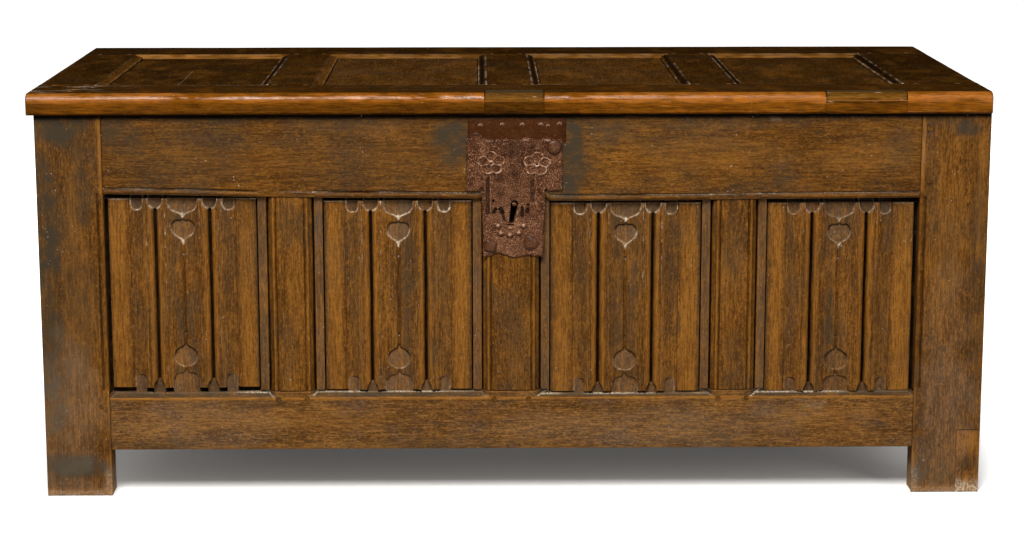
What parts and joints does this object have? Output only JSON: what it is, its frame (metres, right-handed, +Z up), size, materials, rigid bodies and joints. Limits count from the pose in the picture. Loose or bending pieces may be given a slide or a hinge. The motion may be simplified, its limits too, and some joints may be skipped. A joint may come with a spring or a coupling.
{
  "type": "joined coffer chest",
  "caption": "Joined oak coffer: linenfold panels between moulded muntins, framed lid on strap hinges, stile legs and an iron lock plate with flowers over a sliding-bolt lock.",
  "frame": {"origin": "on the floor under the middle of the whole object's box", "axes": "+X along the length, to the right seen from the front; +Y from the front to the back; +Z up"},
  "size_m": [1.5096, 0.7142, 0.651],
  "materials": {
    "front_oak": "waxed dark brown oak with open grain, black wax in the recesses and dust on the ledges",
    "carcase_oak": "dry dark brown oak, hewn and scrubbed",
    "lid_oak": "dark brown oak worn orange-brown and glossy at the front edge",
    "floor_oak": "unfinished grey-brown oak boards",
    "patch_oak": "lighter let-in oak",
    "peg_oak": "dark end grain",
    "rusted_plate": "pitted red-brown rusted iron",
    "worn_strip": "smooth browned iron",
    "lock_iron": "dark forged iron with light rust",
    "hinge_iron": "black forged iron with rust in the pits"
  },
  "bodies": {
    "carcase": {"back_bottom_rail": "carcase_oak", "back_muntins": "carcase_oak", "back_panels": "carcase_oak", "back_top_rail": "carcase_oak", "bolt_guides": "lock_iron", "bolt_spring": "lock_iron", "carcase_nails": "hinge_iron", "drill_pin": "lock_iron", "floor_boards": "floor_oak", "foot_patch": "patch_oak", "frame_pegs": "peg_oak", "front_bottom_rail": "front_oak", "front_muntin_centre": "front_oak", "front_muntin_left": "front_oak", "front_muntin_right": "front_oak", "front_stile_left": "front_oak", "front_stile_right": "front_oak", "front_top_rail": "front_oak", "hinge_pins": "hinge_iron", "hinge_tail_left": "hinge_iron", "hinge_tail_right": "hinge_iron", "left_end_bottom_rail": "carcase_oak", "left_end_muntin": "carcase_oak", "left_end_panels": "carcase_oak", "left_end_top_rail": "carcase_oak", "linenfold_panel_1": "front_oak", "linenfold_panel_2": "front_oak", "linenfold_panel_3": "front_oak", "linenfold_panel_4": "front_oak", "lock_case": "lock_iron", "lock_flowers": "rusted_plate", "lock_nails": "rusted_plate", "lock_plate": "rusted_plate", "lock_top_strip": "worn_strip", "rear_stile_left": "carcase_oak", "rear_stile_right": "carcase_oak", "right_end_bottom_rail": "carcase_oak", "right_end_muntin": "carcase_oak", "right_end_panels": "carcase_oak", "right_end_top_rail": "carcase_oak"},
    "lid": {"hinge_strap_left": "hinge_iron", "hinge_strap_right": "hinge_iron", "lid_back_rail": "lid_oak", "lid_front_rail": "lid_oak", "lid_muntin_centre": "lid_oak", "lid_muntin_left": "lid_oak", "lid_muntin_right": "lid_oak", "lid_nails": "hinge_iron", "lid_panel_1": "lid_oak", "lid_panel_2": "lid_oak", "lid_panel_3": "lid_oak", "lid_panel_4": "lid_oak", "lid_patches": "patch_oak", "lid_pegs": "peg_oak", "lid_staple": "lock_iron", "lid_stile_left": "lid_oak", "lid_stile_right": "lid_oak"},
    "lock_bolt": {"lock_bolt": "lock_iron"}
  },
  "joints": [
    {"name": "lid_hinge", "type": "hinge", "parent": "carcase", "child": "lid", "pos_m": [0, 0.35115, 0.614], "axis": [-1, 0, 0], "range_deg": [0, 100]},
    {"name": "bolt_slide", "type": "slide", "parent": "carcase", "child": "lock_bolt", "axis": [1, 0, 0], "range_m": [0, 0.014]}
  ]
}
